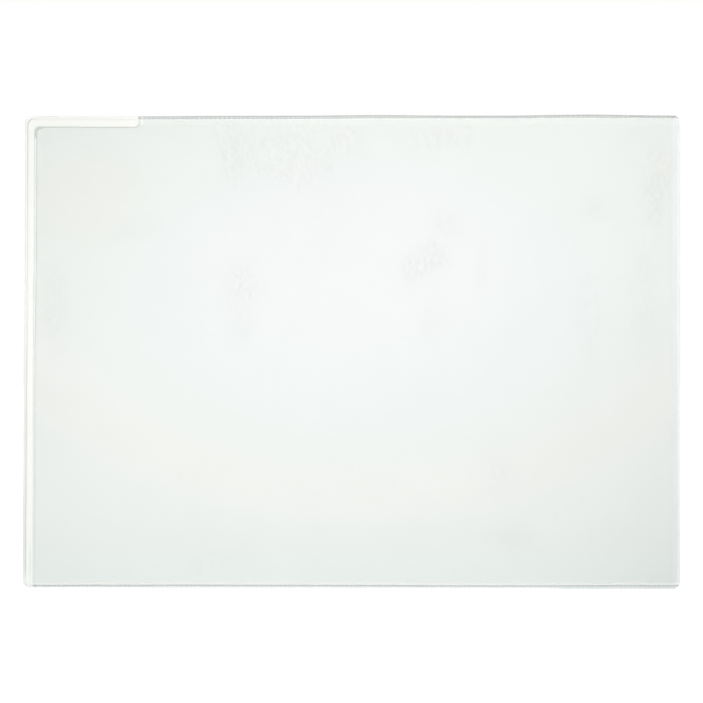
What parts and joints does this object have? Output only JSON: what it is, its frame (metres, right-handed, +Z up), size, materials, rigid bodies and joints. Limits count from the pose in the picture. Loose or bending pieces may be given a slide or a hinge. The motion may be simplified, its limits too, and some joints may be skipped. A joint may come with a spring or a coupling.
{
  "type": "magnetic display pocket",
  "caption": "Flat landscape document pocket with a white back and a clear front film, open at its left side, with a thumb cut at the top left and magnetic strips behind.",
  "frame": {"origin": "centre of the top magnetic strip's face, on the plane of the board that it holds on to", "axes": "+X to the right as seen from the front, +Y from the pocket into the board, +Z up; the clear window faces -Y"},
  "size_m": [0.306, 0.0019, 0.22],
  "materials": {
    "back_film": "white, opaque, soft gloss",
    "window_film": "clear with a matt face, faint grey-green cast",
    "fused_film": "melted film, clear to pale grey",
    "magnet_rubber": "dull dark brown-grey, ferrite-filled",
    "strip_adhesive": "cream double-sided tape"
  },
  "bodies": {
    "pocket": {"back_panel": "back_film", "front_window": "window_film", "top_weld": "fused_film", "right_weld": "fused_film", "bottom_weld": "fused_film", "top_magnet_strip": "magnet_rubber", "bottom_magnet_strip": "magnet_rubber", "top_strip_tape": "strip_adhesive", "bottom_strip_tape": "strip_adhesive"},
    "corner_flap": {"window_corner_flap": "window_film"}
  },
  "joints": [
    {"name": "flap_lift", "type": "hinge", "parent": "pocket", "child": "corner_flap", "pos_m": [-0.1487, -0.0018, -0.2007], "axis": [0.2087, 0, 0.978], "range_deg": [0, 60], "stiffness_Nm_per_rad": 0.006}
  ]
}
